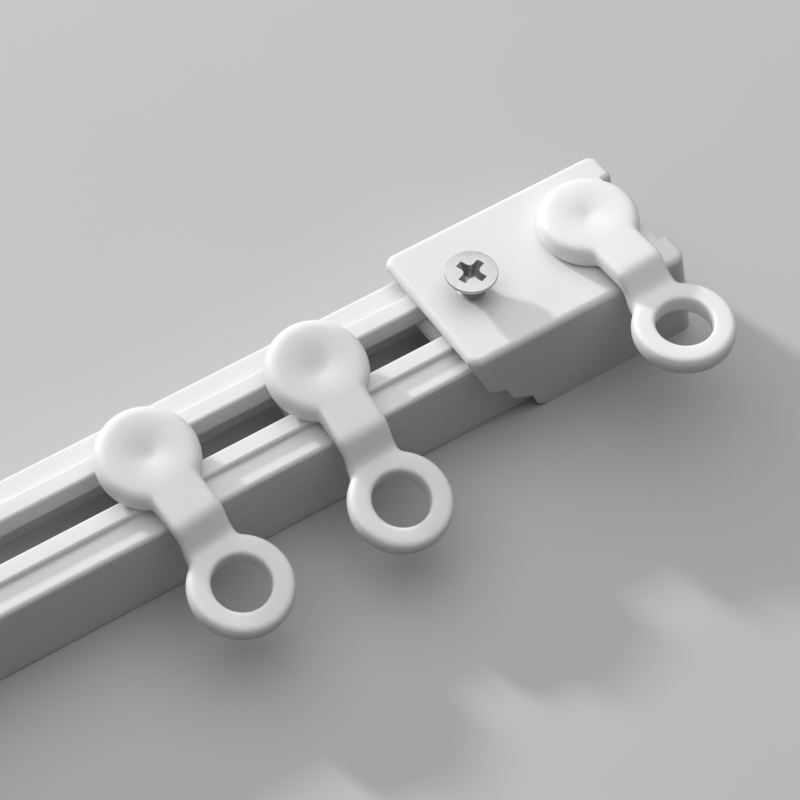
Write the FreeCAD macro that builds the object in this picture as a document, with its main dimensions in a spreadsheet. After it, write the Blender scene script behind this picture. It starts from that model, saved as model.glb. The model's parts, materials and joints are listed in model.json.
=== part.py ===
import FreeCAD, Part
import os
import re
import Sketcher

# Curtain track: a slotted rail, an end cap clamped on each end by a screw, and hangers on glides.
# +X runs along the rail, +Z comes out of the slot and the hangers' rings point to -Y.
# The origin is the middle of the rail's flat back.

sizes = [
    ("rail_length", 200.0, "rail from cut end to cut end"),
    ("rail_width", 20.0, "rail across its side walls"),
    ("rail_height", 15.5, "rail from its back to the top of its lips"),
    ("side_wall", 1.3, "rail's side walls"),
    ("floor_wall", 1.5, "rail's back wall"),
    ("shelf_wall", 1.65, "rail's shelf beside the lips"),
    ("slot_width", 6.0, "gap between the lips"),
    ("lip_width", 2.9, "each lip across"),
    ("lip_depth", 3.5, "lips' faces in the slot"),
    ("lip_rise", 1.0, "lips above the shelves"),
    ("shelf_round", 0.7, "shelves' outer edges"),
    ("lip_round", 0.4, "lips' upper edges"),
    ("back_round", 0.3, "edges of the rail's back"),
    ("cap_seat", 20.0, "length of rail inside a cap"),
    ("cap_gap", 0.2, "rail to cap, at the sides, the lips and the cut end"),
    ("cap_wall", 1.7, "cap's side walls"),
    ("cap_roof", 2.4, "cap's top wall"),
    ("cap_flare", 3.0, "cap's foot beyond its top, at the end"),
    ("cap_bulkhead", 1.85, "wall behind the rail's end"),
    ("chamber_gap", 2.05, "glide in the cap, at both ends"),
    ("cap_edge_round", 1.1, "cap's top edges"),
    ("cap_corner_round", 1.9, "cap's upright edges"),
    ("mouth_edge", 1.1, "cap's top wall at its mouth, thickness"),
    ("panel_width", 13.4, "sunk panel in the cap's end"),
    ("panel_depth", 1.9, "how far that panel is sunk"),
    ("panel_round", 0.9, "edges beside that panel"),
    ("end_wall", 1.25, "cap's end wall at the panel"),
    ("lobe_round", 2.0, "lobes of the cap's side walls"),
    ("lobe_one_run", 3.0, "first lobe behind the mouth"),
    ("lobe_one_height", 10.0, "first lobe above the back"),
    ("notch_one_run", 6.1, "first notch behind the mouth"),
    ("notch_one_height", 8.4, "first notch above the back"),
    ("lobe_two_run", 7.3, "second lobe behind the mouth"),
    ("lobe_two_height", 5.5, "second lobe above the back"),
    ("notch_two_run", 10.9, "second notch behind the mouth"),
    ("notch_two_height", 3.7, "second notch above the back"),
    ("lobe_three_run", 11.7, "third lobe behind the mouth"),
    ("lobe_three_height", 1.2, "third lobe above the back"),
    ("foot_run", 13.6, "foot of the side walls behind the mouth"),
    ("web_gap", 0.3, "tongue's web to the lips beside it"),
    ("web_setback", 3.0, "tongue's web behind the cap's mouth"),
    ("tongue_width", 12.0, "cap's tongue under the lips"),
    ("tongue_wall", 2.8, "that tongue's thickness"),
    ("tongue_setback", 1.05, "that tongue's nose behind the cap's mouth"),
    ("tongue_round", 1.6, "that tongue's nose"),
    ("boss_radius", 4.0, "cap's boss for the hanger's neck"),
    ("screw_place", 7.6, "clamp screw behind the cap's mouth"),
    ("screw_radius", 2.0, "clamp screw's thread, outside"),
    ("screw_gap", 0.05, "clamp screw in its hole"),
    ("screw_head_radius", 3.85, "clamp screw's head"),
    ("screw_head_rim", 0.45, "clamp screw's head, rim"),
    ("screw_proud", 4.0, "top of the clamp screw's head above the cap"),
    ("screw_tip", 0.7, "bevel at the clamp screw's tip"),
    ("recess_span", 4.6, "cross recess, end to end"),
    ("recess_width", 1.1, "cross recess, each slot"),
    ("recess_depth", 2.0, "cross recess, depth"),
    ("recess_turn", 20.0, "cross recess turned, degrees"),
    ("disc_radius", 7.5, "hanger's disc"),
    ("disc_wall", 3.6, "hanger's disc, thickness"),
    ("disc_round", 1.5, "disc's upper edge"),
    ("disc_foot_round", 0.5, "disc's lower edge"),
    ("dimple_rim", 0.4, "flat rim round the disc's dimple"),
    ("dimple_depth", 0.9, "dimple, depth"),
    ("arm_width", 8.0, "hanger's arm across"),
    ("arm_wall", 2.9, "hanger's arm, thickness"),
    ("arm_round", 0.8, "arm's long edges"),
    ("step_gap", 0.5, "underside of the arm's step to the cap's side"),
    ("step_under_run", 1.9, "that step, length underneath"),
    ("step_lead", 0.6, "top of that step ahead of its underside"),
    ("step_run", 2.9, "that step, length on top"),
    ("step_bend", 1.9, "bends of that step"),
    ("ring_radius", 7.55, "ring, outside"),
    ("ring_bite", 0.35, "ring's edge over the foot of the step"),
    ("ring_bore", 4.2, "ring's hole, radius"),
    ("ring_wall", 3.3, "ring, thickness"),
    ("ring_drop", 3.0, "ring's top below the arm's top"),
    ("ring_round", 1.1, "ring's outer edges"),
    ("ring_bore_round", 0.5, "edges of the ring's hole"),
    ("neck_radius", 1.5, "hanger's neck in the slot"),
    ("pin_radius", 1.2, "hanger's pin in the glide"),
    ("pin_gap", 0.05, "pin in the glide, and neck in the cap's boss"),
    ("barb_radius", 1.5, "barb below the glide"),
    ("barb_length", 1.5, "barb, length"),
    ("glide_length", 8.0, "glide along the rail"),
    ("glide_width", 10.0, "glide across the rail"),
    ("glide_wall", 2.6, "glide, thickness"),
    ("glide_corner", 3.0, "glide's corners"),
    ("glide_gap", 0.1, "glide's play on the pin, above and below"),
    ("lip_gap", 0.3, "glide's back edge to the lip above it, on the runner that is tipped most"),
    ("disc_gap", 0.05, "disc's underside to what it stands on"),
    ("runner_shift", 0.3, "runner's pin in front of the slot's middle"),
    ("first_place", 33.7, "first runner from the rail's middle"),
    ("first_tip", 13.5, "first runner tipped forward, degrees"),
    ("first_turn", 5.3, "first hanger turned, degrees"),
    ("second_place", 61.1, "second runner from the rail's middle"),
    ("second_tip", 15.3, "second runner tipped forward, degrees"),
    ("second_turn", 1.5, "second hanger turned, degrees"),
    ("cap_hanger_turn", 3.4, "right cap's hanger turned, degrees"),
]

mouth = "(rail_length / 2 - cap_seat)"
seat_end = "(cap_seat + cap_gap)"
seat_half = "(rail_width / 2 + cap_gap)"
seat_top = "(rail_height + cap_gap)"
cap_half = "(rail_width / 2 + cap_gap + cap_wall)"
cap_top = "(rail_height + cap_gap + cap_roof)"
lip_under = "(rail_height - lip_depth)"
lip_outer = "(slot_width / 2 + lip_width)"
chamber_start = f"({seat_end} + cap_bulkhead)"
cap_hanger_place = f"({chamber_start} + chamber_gap + glide_length / 2)"
chamber_end = f"({chamber_start} + 2 * chamber_gap + glide_length)"
cap_length = f"({chamber_end} + end_wall + panel_depth)"
disc_height = f"(rail_height + disc_gap + ({lip_outer} - runner_shift) * tan(second_tip * 1 deg))"
lip_drop = f"({disc_height} - {lip_under} + lip_gap + glide_width / 2 * sin(second_tip * 1 deg))"
glide_top = f"({lip_drop} / cos(second_tip * 1 deg))"
neck_length = f"({glide_top} - glide_gap)"
pin_end = f"({glide_top} + glide_wall + glide_gap)"
boss_end = f"({cap_top} + disc_gap - {glide_top})"
step_under = f"({cap_half} + step_gap)"
step_foot = f"({step_under} - step_lead + step_run)"
ring_reach = f"({step_foot} + ring_radius - ring_bite)"
dimple_radius = "(disc_radius - disc_round - dimple_rim)"
ring_top = "(disc_wall - ring_drop)"
ring_under = "(disc_wall - ring_drop - ring_wall)"

doc = FreeCAD.newDocument("curtain_track")
dims = doc.addObject("Spreadsheet::Sheet", "Dims")
for row, (alias, value, note) in enumerate(sizes, start=1):
    dims.set(f"A{row}", note)
    dims.set(f"B{row}", str(value))
    dims.setAlias(f"B{row}", alias)
doc.recompute()

alias_words = re.compile(r"\b(" + "|".join(alias for alias, value, note in sizes) + r")\b")


# A size in words becomes an expression on the sheet.
def bound(text):
    return alias_words.sub(r"Dims.\1", text)


def size(text):
    return float(dims.evalExpression(bound(text)))


def bind(item, path, text):
    item.setExpression(path, bound(text))


def new_body(label):
    body = doc.addObject("PartDesign::Body", label)
    body.Label = label
    return body


# A sketch on one of the body's own planes, moved along the plane's normal.
def sketch_on(body, role, offset="0"):
    sketch = body.newObject("Sketcher::SketchObject", f"{body.Label}_outline")
    plane = next(item for item in body.Origin.OriginFeatures if item.Role == role)
    sketch.AttachmentSupport = (plane, "")
    sketch.MapMode = "FlatFace"
    bind(sketch, "AttachmentOffset.Base.z", offset)
    return sketch


# A point of the sketch is held by its distances from the sketch's origin.
def hold_point(sketch, item, point, across, up):
    for kind, text in (("DistanceX", across), ("DistanceY", up)):
        rule = sketch.addConstraint(Sketcher.Constraint(kind, -1, 1, item, point, size(text)))
        bind(sketch, f"Constraints[{rule}]", text)


def hold_radius(sketch, item, radius):
    rule = sketch.addConstraint(Sketcher.Constraint("Radius", item, size(radius)))
    bind(sketch, f"Constraints[{rule}]", radius)


# A closed outline through corners (across, up) or, where a corner is rounded, (across, up, radius).
def outline(sketch, corners):
    places = [FreeCAD.Vector(size(corner[0]), size(corner[1]), 0) for corner in corners]
    count = len(places)
    first = sketch.GeometryCount
    for k in range(count):
        sketch.addGeometry(Part.LineSegment(places[k], places[(k + 1) % count]))
    for k in range(count):
        sketch.addConstraint(Sketcher.Constraint("Coincident", first + k, 2, first + (k + 1) % count, 1))
    for k, corner in enumerate(corners):
        hold_point(sketch, first + k, 1, corner[0], corner[1])
    for k, corner in enumerate(corners):
        if len(corner) == 3:
            round_corner(sketch, first + (k - 1) % count, first + k, places[k], corner[2])


def round_corner(sketch, line_in, line_out, corner, radius):
    before = (sketch.Geometry[line_in].StartPoint + corner) / 2
    after = (sketch.Geometry[line_out].EndPoint + corner) / 2
    sketch.fillet(line_in, line_out, before, after, size(radius), True, True)
    hold_radius(sketch, sketch.GeometryCount - 2, radius)


def circle(sketch, across, up, radius):
    place = FreeCAD.Vector(size(across), size(up), 0)
    item = sketch.addGeometry(Part.Circle(place, FreeCAD.Vector(0, 0, 1), size(radius)))
    hold_point(sketch, item, 3, across, up)
    hold_radius(sketch, item, radius)


# An upright line to turn about.
def upright_axis(sketch, across, top):
    ends = [FreeCAD.Vector(size(across), height, 0) for height in (0, size(top))]
    item = sketch.addGeometry(Part.LineSegment(*ends), True)
    hold_point(sketch, item, 1, across, "0")
    hold_point(sketch, item, 2, across, top)


def pad(body, sketch, length, sides="Symmetric", back=False):
    feature = body.newObject("PartDesign::Pad", f"{body.Label}_pad")
    feature.Profile = sketch
    feature.SideType = sides
    feature.Reversed = back
    bind(feature, "Length", length)
    return feature


# A cut has to take something away.
def pocket(body, sketch, length, sides="Symmetric", back=False):
    doc.recompute()
    before = body.Shape.Volume
    feature = body.newObject("PartDesign::Pocket", f"{body.Label}_cut")
    feature.Profile = sketch
    feature.SideType = sides
    feature.Reversed = back
    bind(feature, "Length", length)
    doc.recompute()
    if body.Shape.Volume > before - small:
        raise RuntimeError(f"{body.Label}: a cut takes nothing away")


def turned(body, kind, sketch, axis):
    feature = body.newObject(kind, f"{body.Label}_turned")
    feature.Profile = sketch
    feature.ReferenceAxis = (sketch, [axis])
    feature.Angle = 360


# Rounds every edge of the body that is wanted.
def fillet(body, radius, wanted):
    doc.recompute()
    sharp = body.Tip
    names = [f"Edge{n}" for n, edge in enumerate(sharp.Shape.Edges, start=1) if wanted(edge.BoundBox)]
    feature = body.newObject("PartDesign::Fillet", f"{body.Label}_round")
    feature.Base = (sharp, names)
    bind(feature, "Radius", radius)
    doc.recompute()


small = 0.01
upright = FreeCAD.Vector(0, 0, 1)


# One extruded section: back, side walls, shelves and lips.
def make_rail():
    body = new_body("rail")
    side = "rail_width / 2"
    shelf = "rail_height - lip_rise"
    inner = f"{side} - side_wall"
    half = [
        (side, "0", "back_round"),
        (side, shelf, "shelf_round"),
        (lip_outer, shelf),
        (lip_outer, "rail_height", "lip_round"),
        ("slot_width / 2", "rail_height", "lip_round"),
        ("slot_width / 2", lip_under),
        (lip_outer, lip_under),
        (lip_outer, f"{shelf} - shelf_wall"),
        (inner, f"{shelf} - shelf_wall"),
        (inner, "floor_wall"),
    ]
    other = [(f"-({corner[0]})", *corner[1:]) for corner in reversed(half)]
    section = sketch_on(body, "YZ_Plane")
    outline(section, half + other)
    pad(body, section, "rail_length")
    return body


# A cover over the rail's end, drawn with its mouth at x = 0.
def make_cap(label, side):
    body = new_body(label)
    cap_block(body)
    cap_lobes(body)
    cap_hollows(body)
    cap_tongue(body)
    cap_holes(body)
    bind(body, "Placement.Base.x", f"{side} * {mouth}")
    body.Placement.Rotation = FreeCAD.Rotation(upright, 0 if side > 0 else 180)
    return body


# The block with its sloping end, its rounded rim and the sunk panel in the end.
def cap_block(body):
    block = sketch_on(body, "XZ_Plane")
    outline(block, [
        ("0", "0"),
        ("0", cap_top),
        (cap_length, cap_top),
        (f"{cap_length} + cap_flare", "0"),
    ])
    pad(body, block, f"2 * {cap_half}")
    top = size(cap_top) - small
    fillet(body, "cap_corner_round", lambda box: box.ZLength > top)
    fillet(body, "cap_edge_round", lambda box: box.ZMin > top)
    panel = sketch_on(body, "XZ_Plane")
    outline(panel, [
        (f"{cap_length} - panel_depth", cap_top),
        (f"{cap_length} + cap_flare", cap_top),
        (f"{cap_length} + cap_flare", "0"),
        (f"{cap_length} + cap_flare - panel_depth", "0"),
    ])
    pocket(body, panel, "panel_width")
    foot = size(f"{cap_length} + cap_flare") - small
    fillet(body, "panel_round", lambda box: box.XMax > foot and box.YLength < small and box.ZLength > top / 2)


# The side walls' stepped edge at the mouth: three lobes, one below the other.
def cap_lobes(body):
    lobes = sketch_on(body, "XZ_Plane")
    outline(lobes, [
        ("0", f"{cap_top} - mouth_edge"),
        ("lobe_one_run", "lobe_one_height", "lobe_round"),
        ("notch_one_run", "notch_one_height"),
        ("lobe_two_run", "lobe_two_height", "lobe_round"),
        ("notch_two_run", "notch_two_height"),
        ("lobe_three_run", "lobe_three_height", "lobe_round / 2"),
        ("foot_run", "0"),
        ("0", "0"),
    ])
    pocket(body, lobes, f"2 * {cap_half}")


# Room for the rail's end and, behind the bulkhead, for the hanger's glide.
def cap_hollows(body):
    for start, end in (("0", seat_end), (chamber_start, chamber_end)):
        hollow = sketch_on(body, "XZ_Plane")
        outline(hollow, [(start, "0"), (end, "0"), (end, seat_top), (start, seat_top)])
        pocket(body, hollow, f"2 * {seat_half}")


# A web in the rail's slot and a tongue under its lips, and the boss for the hanger's neck.
def cap_tongue(body):
    tongue = sketch_on(body, "XZ_Plane")
    outline(tongue, [
        ("tongue_setback", f"{lip_under} - tongue_wall", "tongue_round / 2"),
        (seat_end, f"{lip_under} - tongue_wall"),
        (seat_end, lip_under),
        ("tongue_setback", lip_under, "tongue_round"),
    ])
    pad(body, tongue, "tongue_width")
    web = sketch_on(body, "XZ_Plane")
    outline(web, [
        ("web_setback", lip_under),
        (seat_end, lip_under),
        (seat_end, seat_top),
        ("web_setback", seat_top),
    ])
    pad(body, web, "slot_width - 2 * web_gap")
    boss = sketch_on(body, "XY_Plane", seat_top)
    circle(boss, cap_hanger_place, "0", "boss_radius")
    pad(body, boss, f"{seat_top} - {boss_end}", "One side", True)


def cap_holes(body):
    holes = [("screw_place", "screw_radius + screw_gap"), (cap_hanger_place, "neck_radius + pin_gap")]
    for along, radius in holes:
        hole = sketch_on(body, "XY_Plane", cap_top)
        circle(hole, along, "0", radius)
        pocket(body, hole, cap_top, "One side")


# Countersunk screw: its tip bears on the rail's back and holds the cap's tongue against the lips.
def make_screw(label, side):
    body = new_body(label)
    tip = f"(floor_wall - {cap_top} - screw_proud)"
    profile = sketch_on(body, "XZ_Plane")
    outline(profile, [
        ("0", "0"),
        ("screw_head_radius", "0"),
        ("screw_head_radius", "-screw_head_rim"),
        ("screw_radius", "-(screw_head_rim + screw_head_radius - screw_radius)"),
        ("screw_radius", f"{tip} + screw_tip"),
        ("screw_radius - screw_tip", tip),
        ("0", tip),
    ])
    turned(body, "PartDesign::Revolution", profile, "V_Axis")
    for wide, tall in (("recess_span", "recess_width"), ("recess_width", "recess_span")):
        slot = sketch_on(body, "XY_Plane")
        outline(slot, [
            (f"-{wide} / 2", f"-{tall} / 2"),
            (f"{wide} / 2", f"-{tall} / 2"),
            (f"{wide} / 2", f"{tall} / 2"),
            (f"-{wide} / 2", f"{tall} / 2"),
        ])
        pocket(body, slot, "recess_depth", "One side")
    place(body, f"{side} * ({mouth} + screw_place)", "0", f"{cap_top} + screw_proud", "0", "recess_turn")
    return body


# Disc, arm, step and ring in one piece, with a neck and a barbed pin under the disc.
# The disc's underside is at z = 0 and the pin's axis is the z axis.
def make_hanger(label):
    body = new_body(label)
    hanger_arm(body)
    hanger_disc(body)
    hanger_ring(body)
    return body


def hanger_arm(body):
    arm_under = "disc_wall - arm_wall"
    arm_end = f"-({ring_reach} - ring_bore - (ring_radius - ring_bore) / 5)"
    leg_under = f"{ring_under} + (ring_wall - arm_wall) / 2"
    arm = sketch_on(body, "YZ_Plane")
    outline(arm, [
        ("0", arm_under),
        ("0", "disc_wall"),
        (f"-({step_under} - step_lead)", "disc_wall", "step_bend"),
        (f"-{step_foot}", ring_top, "step_bend"),
        (arm_end, ring_top),
        (arm_end, leg_under),
        (f"-({step_under} + step_under_run)", leg_under, "step_bend / 2"),
        (f"-{step_under}", arm_under, "step_bend / 2"),
    ])
    pad(body, arm, "arm_width")
    side = size("arm_width / 2") - small
    fillet(body, "arm_round", lambda box: box.XLength < small < box.YLength and abs(box.XMin) > side)


def hanger_disc(body):
    disc = sketch_on(body, "XZ_Plane")
    outline(disc, [
        ("0", "disc_wall"),
        ("disc_radius", "disc_wall", "disc_round"),
        ("disc_radius", "0", "disc_foot_round"),
        ("neck_radius", "0"),
        ("neck_radius", f"-{neck_length}"),
        ("pin_radius", f"-{neck_length}"),
        ("pin_radius", f"-{pin_end}"),
        ("barb_radius", f"-{pin_end}"),
        ("pin_radius / 2", f"-({pin_end} + barb_length)"),
        ("0", f"-({pin_end} + barb_length)"),
    ])
    turned(body, "PartDesign::Revolution", disc, "V_Axis")
    slope = f"atan(2 * dimple_depth / {dimple_radius})"
    dimple = sketch_on(body, "XZ_Plane")
    outline(dimple, [
        ("0", "disc_wall - dimple_depth"),
        (f"{dimple_radius} / 2", "disc_wall", f"0.45 * {dimple_radius} / tan({slope} / 2)"),
        (dimple_radius, "disc_wall"),
        (dimple_radius, "disc_wall + dimple_depth"),
        ("0", "disc_wall + dimple_depth"),
    ])
    turned(body, "PartDesign::Groove", dimple, "V_Axis")


def hanger_ring(body):
    near = f"-({ring_reach} - ring_bore)"
    far = f"-({ring_reach} - ring_radius)"
    ring = sketch_on(body, "YZ_Plane")
    outline(ring, [
        (near, ring_top, "ring_bore_round"),
        (far, ring_top, "ring_round"),
        (far, ring_under, "ring_round"),
        (near, ring_under, "ring_bore_round"),
    ])
    upright_axis(ring, f"-{ring_reach}", ring_top)
    turned(body, "PartDesign::Revolution", ring, "Axis0")


# A plate with rounded corners that hangs on the pin, drawn in the hanger's own place.
def make_glide(label):
    body = new_body(label)
    across = "glide_width / 2"
    along = "glide_length / 2"
    plate = sketch_on(body, "XY_Plane", f"-{glide_top}")
    outline(plate, [
        (f"-{along}", f"-{across}", "glide_corner"),
        (along, f"-{across}", "glide_corner"),
        (along, across, "glide_corner"),
        (f"-{along}", across, "glide_corner"),
    ])
    circle(plate, "0", "0", "pin_radius + pin_gap")
    pad(body, plate, "glide_wall", "One side", True)
    return body


def place(body, along, across, height, tip, turn):
    spot = f"create(<<vector>>; {along}; {across}; {height})"
    tipped = f"create(<<rotation>>; create(<<vector>>; 1; 0; 0); {tip})"
    turned_by = f"create(<<rotation>>; create(<<vector>>; 0; 0; 1); {turn})"
    bind(body, "Placement", f"create(<<placement>>; {spot}; {tipped} * {turned_by})")


nodes = [make_rail()]
for name, side in (("right", 1), ("left", -1)):
    nodes.append(make_cap(f"{name}_end_cap", side))
    nodes.append(make_screw(f"{name}_clamp_screw", side))
    hanger = make_hanger(f"{name}_hanger")
    glide = make_glide(f"{name}_glide")
    turn = "cap_hanger_turn" if side > 0 else "0"
    along = f"{side} * ({mouth} + {cap_hanger_place})"
    place(hanger, along, "0", f"{cap_top} + disc_gap", "0", turn)
    place(glide, along, "0", f"{cap_top} + disc_gap", "0", "0")
    nodes += [hanger, glide]

for name in ("first", "second"):
    hanger = make_hanger(f"{name}_hanger")
    glide = make_glide(f"{name}_glide")
    height = f"rail_height + disc_gap + ({lip_outer} - runner_shift) * tan({name}_tip * 1 deg)"
    place(hanger, f"{name}_place", "-runner_shift", height, f"{name}_tip", f"{name}_turn")
    place(glide, f"{name}_place", "-runner_shift", height, f"{name}_tip", "0")
    nodes += [hanger, glide]

doc.recompute()
for item in doc.Objects:
    if "Invalid" in item.State or "Error" in item.State:
        raise RuntimeError(f"{item.Label}: {item.State}")
os.makedirs("parts", exist_ok=True)
for node in nodes:
    if node.Shape.isNull() or not node.Shape.isValid():
        raise RuntimeError(f"{node.Label}: its solid is not sound")
    node.Shape.exportStep(f"parts/{node.Label}.step")
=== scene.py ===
import json
import math

import bmesh
import bpy
from mathutils import Matrix, Vector


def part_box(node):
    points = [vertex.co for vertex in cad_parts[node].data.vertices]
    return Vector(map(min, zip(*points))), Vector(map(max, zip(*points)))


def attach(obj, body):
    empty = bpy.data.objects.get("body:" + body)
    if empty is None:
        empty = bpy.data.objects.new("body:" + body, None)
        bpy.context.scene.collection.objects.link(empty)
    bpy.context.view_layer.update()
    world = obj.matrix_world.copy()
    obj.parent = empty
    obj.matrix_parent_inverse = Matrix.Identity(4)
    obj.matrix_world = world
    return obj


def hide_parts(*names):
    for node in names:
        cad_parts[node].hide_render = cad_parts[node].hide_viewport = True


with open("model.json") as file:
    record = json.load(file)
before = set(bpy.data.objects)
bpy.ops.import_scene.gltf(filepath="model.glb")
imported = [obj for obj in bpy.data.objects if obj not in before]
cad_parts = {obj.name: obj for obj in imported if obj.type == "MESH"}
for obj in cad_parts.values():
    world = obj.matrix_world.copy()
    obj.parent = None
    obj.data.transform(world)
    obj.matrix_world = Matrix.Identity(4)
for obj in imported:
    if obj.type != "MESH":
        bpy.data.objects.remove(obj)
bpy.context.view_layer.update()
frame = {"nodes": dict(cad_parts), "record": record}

scene = bpy.context.scene
mm = 0.001


def linkPiece(name, data):
    piece = bpy.data.objects.new(name, data)
    scene.collection.objects.link(piece)
    return piece


def meshFrom(bm, name):
    mesh = bpy.data.meshes.new(name)
    bm.to_mesh(mesh)
    bm.free()
    return mesh


def bakeModifiers(piece):
    bpy.context.view_layer.update()
    shown = piece.evaluated_get(bpy.context.evaluated_depsgraph_get())
    baked = bpy.data.meshes.new_from_object(shown)
    piece.modifiers.clear()
    piece.data = baked
    return piece


# a solid's loose triangles are welded, and those of a flat become one face
copyClean = {"weld": 0.002, "flatWithin": 0.4}


def mergedCopy(node, name):
    bm = bmesh.new()
    bm.from_mesh(frame["nodes"][node].data)
    bmesh.ops.remove_doubles(bm, verts=bm.verts, dist=copyClean["weld"] * mm)
    bmesh.ops.dissolve_limit(bm, angle_limit=math.radians(copyClean["flatWithin"]),
                             verts=bm.verts, edges=bm.edges)
    return linkPiece(name, meshFrom(bm, name))


def paint(piece, material):
    piece.data.materials.clear()
    piece.data.materials.append(material)


def dress(piece, material, body, node):
    paint(piece, material)
    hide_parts(node)
    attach(piece, body)


# the plastics have soft clouds in the colour and a fine grain in the gloss and the relief
railFinish = {
    "name": "railExtrudedWhite",
    "pale": (0.80, 0.80, 0.80, 1), "shade": (0.775, 0.775, 0.78, 1),
    "cloud": (20, 220, 220), "grain": (18, 900, 900), "ripple": (12, 240, 240),
    "smooth": 0.27, "rough": 0.29, "grainDepth": 0.0002, "rippleDepth": 0.0005,
    "soft": 0.25, "softReach": 0.0018,
}
capFinish = {
    "name": "capMouldedWhite",
    "pale": (0.81, 0.81, 0.81, 1), "shade": (0.785, 0.785, 0.785, 1),
    "cloud": (110, 110, 110), "grain": (2400, 2400, 2400), "ripple": (420, 420, 420),
    "smooth": 0.38, "rough": 0.50, "grainDepth": 0.0015, "rippleDepth": 0.003,
    "soft": 0.20, "softReach": 0.0016,
}
hangerFinish = {
    "name": "hangerMouldedWhite",
    "pale": (0.87, 0.87, 0.87, 1), "shade": (0.84, 0.84, 0.845, 1),
    "cloud": (170, 170, 170), "grain": (1900, 1900, 1900), "ripple": (560, 560, 560),
    "smooth": 0.34, "rough": 0.48, "grainDepth": 0.0015, "rippleDepth": 0.009,
    "soft": 0.40, "softReach": 0.0020,
}
glideFinish = {
    "name": "glideMouldedWhite",
    "pale": (0.79, 0.79, 0.785, 1), "shade": (0.74, 0.74, 0.74, 1),
    "cloud": (200, 200, 200), "grain": (1800, 1800, 1800), "ripple": (520, 520, 520),
    "smooth": 0.38, "rough": 0.52, "grainDepth": 0.006, "rippleDepth": 0.008,
    "soft": 0.20, "softReach": 0.0016,
}
# plated steel, slightly dull and grainy
screwFinish = {
    "name": "screwBrightPlating",
    "pale": (0.64, 0.64, 0.65, 1), "shade": (0.53, 0.53, 0.54, 1),
    "cloud": (900, 900, 900), "grain": (4200, 4200, 4200),
    "smooth": 0.30, "rough": 0.46, "grainDepth": 0.006,
}
noiseSpan = {"low": 0.3, "high": 0.7}  # where most values of a noise lie
noiseDetail = {
    "plasticCloud": 3, "plasticGrain": 2, "ripple": 1,
    "platingCloud": 4, "platingGrain": 3, "floor": 3,
}
mixSocket = {"factor": 0, "first": 6, "second": 7, "result": 2}  # the colour sockets of a mix node


def newMaterial(name):
    material = bpy.data.materials.new(name)
    material.use_nodes = True
    tree = material.node_tree
    return material, tree, tree.nodes["Principled BSDF"].inputs


def noiseOn(tree, scale, detail):
    coords = tree.nodes.new("ShaderNodeTexCoord")
    mapping = tree.nodes.new("ShaderNodeMapping")
    mapping.inputs["Scale"].default_value = scale
    tree.links.new(coords.outputs["Object"], mapping.inputs["Vector"])
    noise = tree.nodes.new("ShaderNodeTexNoise")
    noise.inputs["Scale"].default_value = 1
    noise.inputs["Detail"].default_value = detail
    tree.links.new(mapping.outputs["Vector"], noise.inputs["Vector"])
    return noise.outputs["Fac"]


def ranged(tree, value, low, high):
    spread = tree.nodes.new("ShaderNodeMapRange")
    spread.inputs["From Min"].default_value = noiseSpan["low"]
    spread.inputs["From Max"].default_value = noiseSpan["high"]
    spread.inputs["To Min"].default_value = low
    spread.inputs["To Max"].default_value = high
    tree.links.new(value, spread.inputs["Value"])
    return spread.outputs["Result"]


def colourMix(tree, factor, first):
    mix = tree.nodes.new("ShaderNodeMix")
    mix.data_type = "RGBA"
    mix.inputs[mixSocket["first"]].default_value = first
    tree.links.new(factor, mix.inputs[mixSocket["factor"]])
    return mix.inputs[mixSocket["second"]], mix.outputs[mixSocket["result"]]


def clouded(tree, cloud, shade, pale):
    second, result = colourMix(tree, ranged(tree, cloud, 0, 1), shade)
    second.default_value = pale
    return result


def relief(tree, value, depth, under=None):
    bump = tree.nodes.new("ShaderNodeBump")
    bump.inputs["Distance"].default_value = depth * mm
    tree.links.new(value, bump.inputs["Height"])
    if under:
        tree.links.new(under, bump.inputs["Normal"])
    return bump.outputs["Normal"]


def plastic(finish):
    material, tree, shader = newMaterial(finish["name"])
    cloud = noiseOn(tree, finish["cloud"], noiseDetail["plasticCloud"])
    grain = noiseOn(tree, finish["grain"], noiseDetail["plasticGrain"])
    ripple = noiseOn(tree, finish["ripple"], noiseDetail["ripple"])
    waves = relief(tree, ripple, finish["rippleDepth"])
    tree.links.new(clouded(tree, cloud, finish["shade"], finish["pale"]), shader["Base Color"])
    tree.links.new(ranged(tree, grain, finish["smooth"], finish["rough"]), shader["Roughness"])
    tree.links.new(relief(tree, grain, finish["grainDepth"], waves), shader["Normal"])
    shader["Subsurface Weight"].default_value = finish["soft"]
    shader["Subsurface Radius"].default_value = (1, 1, 1)  # no tint in the depth
    shader["Subsurface Scale"].default_value = finish["softReach"]
    return material


def plating(finish):
    material, tree, shader = newMaterial(finish["name"])
    cloud = noiseOn(tree, finish["cloud"], noiseDetail["platingCloud"])
    grain = noiseOn(tree, finish["grain"], noiseDetail["platingGrain"])
    tree.links.new(clouded(tree, cloud, finish["shade"], finish["pale"]), shader["Base Color"])
    tree.links.new(ranged(tree, cloud, finish["smooth"], finish["rough"]), shader["Roughness"])
    tree.links.new(relief(tree, grain, finish["grainDepth"]), shader["Normal"])
    shader["Metallic"].default_value = 1
    return material


railWhite = plastic(railFinish)
capWhite = plastic(capFinish)
hangerWhite = plastic(hangerFinish)
glideWhite = plastic(glideFinish)
screwBright = plating(screwFinish)
print("stage: finishes made")


# rail and end caps keep their solid's form and get their sharp edges broken
softEdges = {"rail": 0.16, "cap": 0.28, "segments": 3, "sharpFrom": 32, "flatWeight": 80}


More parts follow.
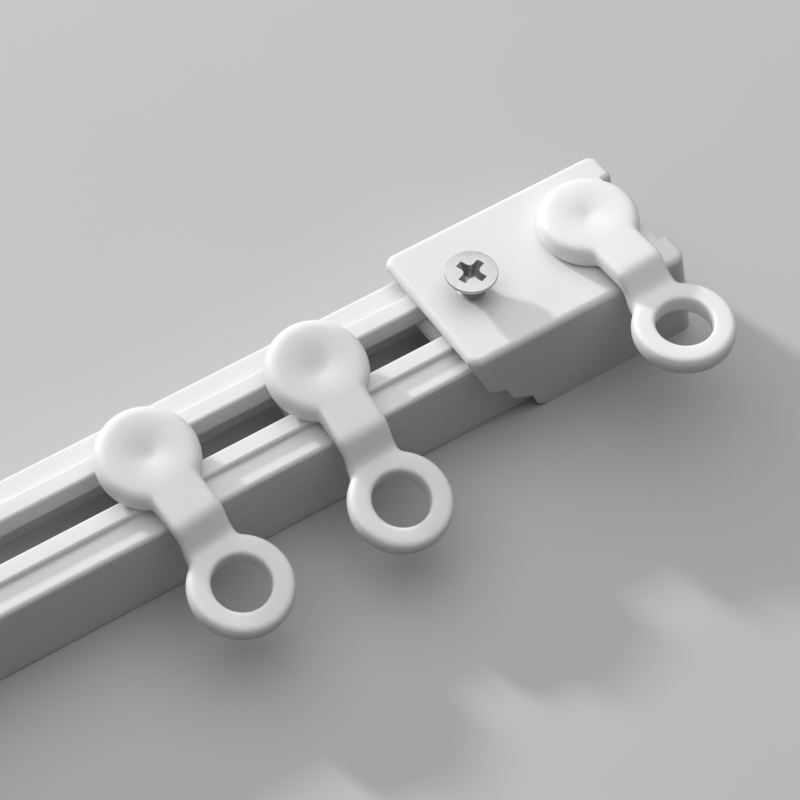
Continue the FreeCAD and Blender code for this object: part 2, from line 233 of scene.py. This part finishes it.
def brokenEdges(node, name, width):
    piece = mergedCopy(node, name)
    piece.data.shade_smooth()
    bevel = piece.modifiers.new("brokenEdges", "BEVEL")
    bevel.width = width * mm
    bevel.segments = softEdges["segments"]
    bevel.profile = 0.5
    bevel.limit_method = "ANGLE"
    bevel.angle_limit = math.radians(softEdges["sharpFrom"])
    bevel.use_clamp_overlap = True
    flats = piece.modifiers.new("evenFlats", "WEIGHTED_NORMAL")  # no shading streaks on wide flats
    flats.mode = "FACE_AREA"
    flats.weight = softEdges["flatWeight"]
    return bakeModifiers(piece)


rail = brokenEdges("rail", "railBody", softEdges["rail"])
dress(rail, railWhite, "track", "rail")
for side in ("right", "left"):
    cap = brokenEdges(f"{side}_end_cap", f"{side}CapBody", softEdges["cap"])
    dress(cap, capWhite, "track", f"{side}_end_cap")
print("stage: rail and caps")


# each hanger is one moulding, so disc, arm and ring run into each other
hangerSkin = {
    "cell": 0.17, "rounds": 7, "blendRounds": 34, "pull": 0.5,
    "ringReach": 7.3, "neckTop": -0.1, "neckReach": 6,
}
mounts = {mount["name"]: mount for mount in frame["record"]["mounts"]}
joints = {joint["name"]: joint for joint in frame["record"]["behaviour"]["joints"]}


def smoothed(bm, verts, rounds):
    for turn in range(rounds):
        bmesh.ops.smooth_vert(bm, verts=verts, factor=hangerSkin["pull"],
                              use_axis_x=True, use_axis_y=True, use_axis_z=True)


def mouldedHanger(which, name):
    piece = mergedCopy(f"{which}_hanger", name)
    skin = piece.modifiers.new("skin", "REMESH")
    skin.mode = "VOXEL"
    skin.voxel_size = hangerSkin["cell"] * mm
    bakeModifiers(piece)
    ringMiddle = Vector(mounts[f"{which}_ring"]["pos_m"])
    pinTop = Vector(joints[f"{which}_hanger_swivel"]["pos_m"])
    pinAxis = Vector(joints[f"{which}_hanger_swivel"]["axis"])
    ringReach, neckTop, neckReach = (hangerSkin[key] * mm for key in ("ringReach", "neckTop", "neckReach"))
    bm = bmesh.new()
    bm.from_mesh(piece.data)
    smoothed(bm, bm.verts, hangerSkin["rounds"])
    # disc and arm, without the ring, the neck and the pin
    outside = [vert for vert in bm.verts if (vert.co - ringMiddle).length > ringReach]
    blended = [vert for vert in outside if (vert.co - pinTop).dot(pinAxis) > neckTop or
               (vert.co - pinTop).cross(pinAxis).length > neckReach]
    smoothed(bm, blended, hangerSkin["blendRounds"])
    bm.to_mesh(piece.data)
    bm.free()
    piece.data.shade_smooth()
    return piece


for which in ("first", "second", "right", "left"):
    hanger = mouldedHanger(which, f"{which}HangerBody")
    dress(hanger, hangerWhite, f"{which}_hanger", f"{which}_hanger")
    paint(frame["nodes"][f"{which}_glide"], glideWhite)
print("stage: hangers and glides")


# clamp screws with a countersunk head, a cross recess and a fine thread
screwShape = {
    "headRadius": 3.85, "headEdge": 0.12, "edgeCurve": ((2, 0), (0.6, 0.3), (0, 1.2)), "headRim": 0.42,
    "rimEase": (0.1, 0.08), "neckEase": (0.15, 0.1), "neckFoot": 0.15,
    "coreRadius": 1.62, "length": 20.6, "tip": 0.6, "around": 72,
    "threadRadius": 1.98, "threadSink": 0.1, "threadFoot": 0.32, "threadCrest": 0.04,
    "pitch": 0.7, "perTurn": 28, "threadStart": 2.45,
    "recessSpan": 4.8, "recessWidth": 1.25, "recessRound": 0.8, "recessSteps": 4, "recessLift": 0.2,
    "recessDepth": 2.3, "recessTaper": 0.5, "recessTurn": 20, "sharpFrom": 30, "weld": 0.001,
}


def vertsIn(geom):
    return [item for item in geom if isinstance(item, bmesh.types.BMVert)]


def screwTurned(shape):
    head, core, edge = shape["headRadius"], shape["coreRadius"], shape["headEdge"]
    cone = shape["headRim"] + head - core
    profile = [
        (0, 0), *((head - inward * edge, -down * edge) for inward, down in shape["edgeCurve"]),
        (head, -shape["headRim"]), (head - shape["rimEase"][0], -shape["headRim"] - shape["rimEase"][1]),
        (core + shape["neckEase"][0], -cone + shape["neckEase"][1]), (core, -cone - shape["neckFoot"]),
        (core, shape["tip"] - shape["length"]), (core - shape["tip"], -shape["length"]),
        (0, -shape["length"]),
    ]
    bm = bmesh.new()
    points = [bm.verts.new((r * mm, 0, z * mm)) for r, z in profile]
    edges = [bm.edges.new(pair) for pair in zip(points, points[1:])]
    bmesh.ops.spin(bm, geom=points + edges, cent=(0, 0, 0), axis=(0, 0, 1), angle=2 * math.pi,
                   steps=shape["around"], use_merge=True)
    bmesh.ops.remove_doubles(bm, verts=bm.verts, dist=shape["weld"] * mm)
    bmesh.ops.recalc_face_normals(bm, faces=bm.faces)
    return bm


def screwThread(bm, shape):
    turns = int((shape["length"] - shape["threadStart"] - shape["tip"]) / shape["pitch"]) - 1
    root, crest = shape["coreRadius"] - shape["threadSink"], shape["threadRadius"]
    foot, flat = shape["threadFoot"], shape["threadCrest"]
    ridge = [(root, foot), (crest, flat), (crest, -flat), (root, -foot)]
    points = [bm.verts.new((r * mm, 0, (z - shape["threadStart"]) * mm)) for r, z in ridge]
    edges = [bm.edges.new(pair) for pair in zip(points, points[1:] + points[:1])]
    ends = bmesh.ops.spin(bm, geom=points + edges, cent=(0, 0, 0), axis=(0, 0, 1), angle=2 * math.pi * turns,
                          steps=turns * shape["perTurn"],
                          dvec=(0, 0, -shape["pitch"] * mm / shape["perTurn"]))
    bmesh.ops.contextual_create(bm, geom=points)
    bmesh.ops.contextual_create(bm, geom=vertsIn(ends["geom_last"]))
    bmesh.ops.recalc_face_normals(bm, faces=bm.faces)


# a square grows four wings, its inner corners are rounded, and the cross tapers downwards
def recessCutter(name, shape):
    half = shape["recessWidth"] / 2 * mm
    reach = shape["recessSpan"] / 2 * mm - half
    bm = bmesh.new()
    bmesh.ops.create_grid(bm, x_segments=1, y_segments=1, size=half)
    inner = list(bm.verts)
    for edge in list(bm.edges):
        middle = (edge.verts[0].co + edge.verts[1].co) / 2
        wing = bmesh.ops.extrude_edge_only(bm, edges=[edge])["geom"]
        bmesh.ops.translate(bm, verts=vertsIn(wing), vec=middle.normalized() * reach)
    bmesh.ops.dissolve_faces(bm, faces=list(bm.faces))
    bmesh.ops.bevel(bm, geom=inner, offset=shape["recessRound"] * mm, offset_type="OFFSET",
                    affect="VERTICES", segments=shape["recessSteps"], profile=0.5, material=-1)
    bmesh.ops.translate(bm, verts=bm.verts, vec=(0, 0, shape["recessLift"] * mm))
    low = vertsIn(bmesh.ops.extrude_face_region(bm, geom=list(bm.faces))["geom"])
    bmesh.ops.scale(bm, verts=low, vec=(shape["recessTaper"], shape["recessTaper"], 1))
    bmesh.ops.translate(bm, verts=low, vec=(0, 0, -(shape["recessDepth"] + shape["recessLift"]) * mm))
    bmesh.ops.recalc_face_normals(bm, faces=bm.faces)
    return linkPiece(name, meshFrom(bm, name))


def clampScrew(node, name, shape):
    low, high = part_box(node)
    piece = linkPiece(name, meshFrom(screwTurned(shape), name))
    cutter = recessCutter(f"{name}Recess", shape)
    cut = piece.modifiers.new("recess", "BOOLEAN")
    cut.operation = "DIFFERENCE"
    cut.solver = "EXACT"
    cut.object = cutter
    bakeModifiers(piece)
    bpy.data.objects.remove(cutter)
    bm = bmesh.new()
    bm.from_mesh(piece.data)
    screwThread(bm, shape)
    bmesh.ops.rotate(bm, verts=bm.verts, cent=(0, 0, 0),
                     matrix=Matrix.Rotation(math.radians(shape["recessTurn"]), 3, "Z"))
    middle = (low + high) / 2
    bmesh.ops.translate(bm, verts=bm.verts, vec=(middle.x, middle.y, high.z))
    bm.to_mesh(piece.data)
    bm.free()
    piece.data.shade_smooth()
    piece.data.set_sharp_from_angle(angle=math.radians(shape["sharpFrom"]))
    return piece


for side in ("right", "left"):
    screw = clampScrew(f"{side}_clamp_screw", f"{side}ClampScrew", screwShape)
    dress(screw, screwBright, "track", f"{side}_clamp_screw")
print("stage: screws")


stageLook = {
    "floor": (0.52, 0.525, 0.535, 1), "floorShade": (0.49, 0.495, 0.505, 1),
    "floorBounce": (0.12, 0.12, 0.12, 1), "floorCloud": (9, 9, 9), "floorRough": 0.7,
    "floorHalf": 3, "floorDrop": 0.02,
    "keyFrom": (-0.27, 0.96, 0.374), "keyAway": 1.4, "keySize": 0.11, "keyPower": 15.0,
    "fillFrom": (0.08, 0.28, 1.0), "fillAway": 0.9, "fillSize": 1.7, "fillPower": 8.8,
    "worldColour": (0.9, 0.92, 0.95, 1), "worldStrength": 0.16,
    "aim": (0.05, -0.005, 0.01),
}


# the floor is pale to the eye and in reflections, and throws little light back on the object
def seenDirectly(tree):
    path = tree.nodes.new("ShaderNodeLightPath")
    total = path.outputs["Is Camera Ray"]
    for ray in ("Is Glossy Ray", "Is Transmission Ray"):
        either = tree.nodes.new("ShaderNodeMath")
        either.operation = "MAXIMUM"
        tree.links.new(total, either.inputs[0])
        tree.links.new(path.outputs[ray], either.inputs[1])
        total = either.outputs[0]
    return total


def makeFloor(look):
    bm = bmesh.new()
    bmesh.ops.create_grid(bm, x_segments=1, y_segments=1, size=look["floorHalf"])
    bmesh.ops.translate(bm, verts=bm.verts, vec=(0, 0, -look["floorDrop"] * mm))
    floor = linkPiece("paleFloor", meshFrom(bm, "paleFloor"))
    material, tree, shader = newMaterial("paleFloorPaint")
    cloud = noiseOn(tree, look["floorCloud"], noiseDetail["floor"])
    second, tone = colourMix(tree, seenDirectly(tree), look["floorBounce"])
    tree.links.new(clouded(tree, cloud, look["floorShade"], look["floor"]), second)
    tree.links.new(tone, shader["Base Color"])
    shader["Roughness"].default_value = look["floorRough"]
    paint(floor, material)


def makeLamp(name, look, key):
    lamp = bpy.data.lights.new(name, "AREA")
    lamp.shape = "DISK"
    lamp.size = look[f"{key}Size"]
    lamp.energy = look[f"{key}Power"]
    holder = linkPiece(name, lamp)
    away = Vector(look[f"{key}From"]).normalized()
    holder.location = Vector(look["aim"]) + away * look[f"{key}Away"]
    holder.rotation_euler = away.to_track_quat("Z", "Y").to_euler()


def makeWorld(look):
    world = bpy.data.worlds.new("studioAir")
    world.use_nodes = True
    sky = world.node_tree.nodes["Background"]
    sky.inputs["Color"].default_value = look["worldColour"]
    sky.inputs["Strength"].default_value = look["worldStrength"]
    scene.world = world


cameraSet = {
    "place": (-69.7, -221.5, 350.6), "elevation": 52.89, "azimuth": 33.24,
    "lens": 134.8, "sensor": 36, "nearest": 10,
}


def makeCamera(look):
    camera = bpy.data.cameras.new("photoCamera")
    camera.lens = look["lens"]
    camera.sensor_width = look["sensor"]
    camera.clip_start = look["nearest"] * mm
    holder = linkPiece("photoCamera", camera)
    turn = math.radians(look["azimuth"])
    dip = math.radians(look["elevation"])
    right = Vector((math.cos(turn), -math.sin(turn), 0))
    ahead = Vector((math.cos(dip) * math.sin(turn), math.cos(dip) * math.cos(turn), -math.sin(dip)))
    above = right.cross(ahead)
    facing = Matrix((right, above, -ahead)).transposed()
    holder.matrix_world = Matrix.Translation(Vector(look["place"]) * mm) @ facing.to_4x4()
    scene.camera = holder


makeFloor(stageLook)
makeLamp("keyLamp", stageLook, "key")
makeLamp("fillLamp", stageLook, "fill")
makeWorld(stageLook)
makeCamera(cameraSet)
scene.view_settings.view_transform = "Standard"
print("stage: floor, light and camera")
